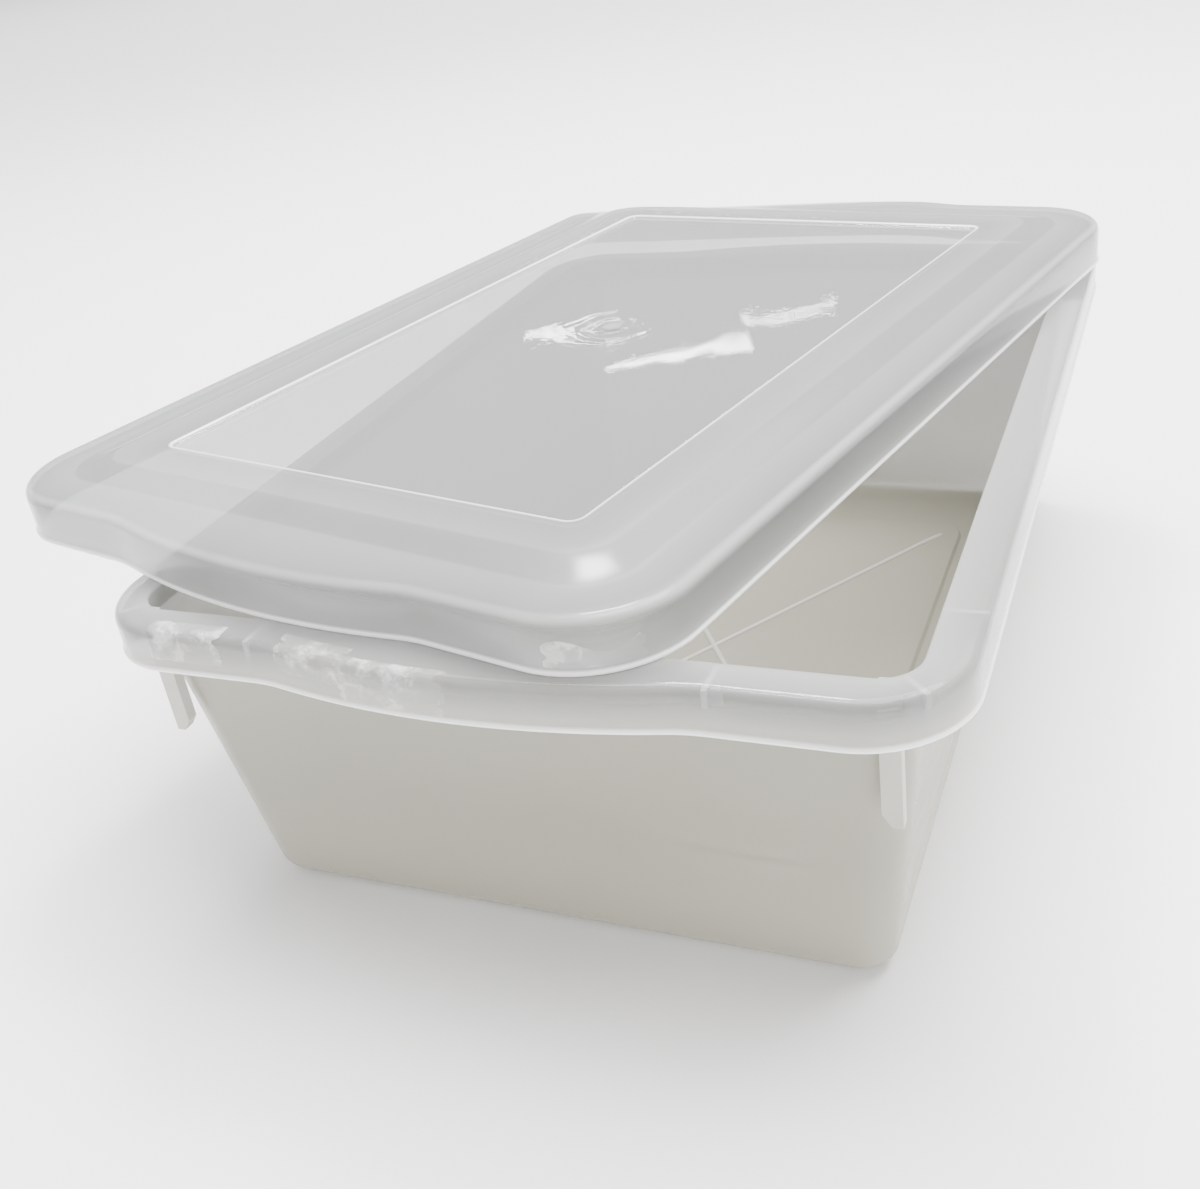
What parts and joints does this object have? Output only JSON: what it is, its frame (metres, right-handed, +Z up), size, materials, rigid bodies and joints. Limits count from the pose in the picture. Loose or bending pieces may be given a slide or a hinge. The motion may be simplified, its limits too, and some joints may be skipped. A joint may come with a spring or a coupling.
{
  "type": "plastic shoe box with loose lid",
  "caption": "Translucent plastic storage box for a pair of shoes, with a drafted tub, a turned-down rim with grip bulges, and a loose lid lying askew on it.",
  "frame": {"origin": "centre of the tub's base, on the surface it stands on", "axes": "+X across the short side, +Y along the long side, +Z up"},
  "size_m": [0.2698, 0.346, 0.1065],
  "materials": {
    "tub_plastic": "natural translucent polypropylene, satin, milky",
    "lid_plastic": "natural translucent polypropylene, satin border and clear glossy window"
  },
  "bodies": {
    "tub": {"tub": "tub_plastic"},
    "lid": {"lid": "lid_plastic"}
  },
  "joints": [
    {"name": "lid_lift", "type": "slide", "parent": "tub", "child": "lid", "axis": [0, 0, 1], "range_m": [0, 0.16]}
  ]
}
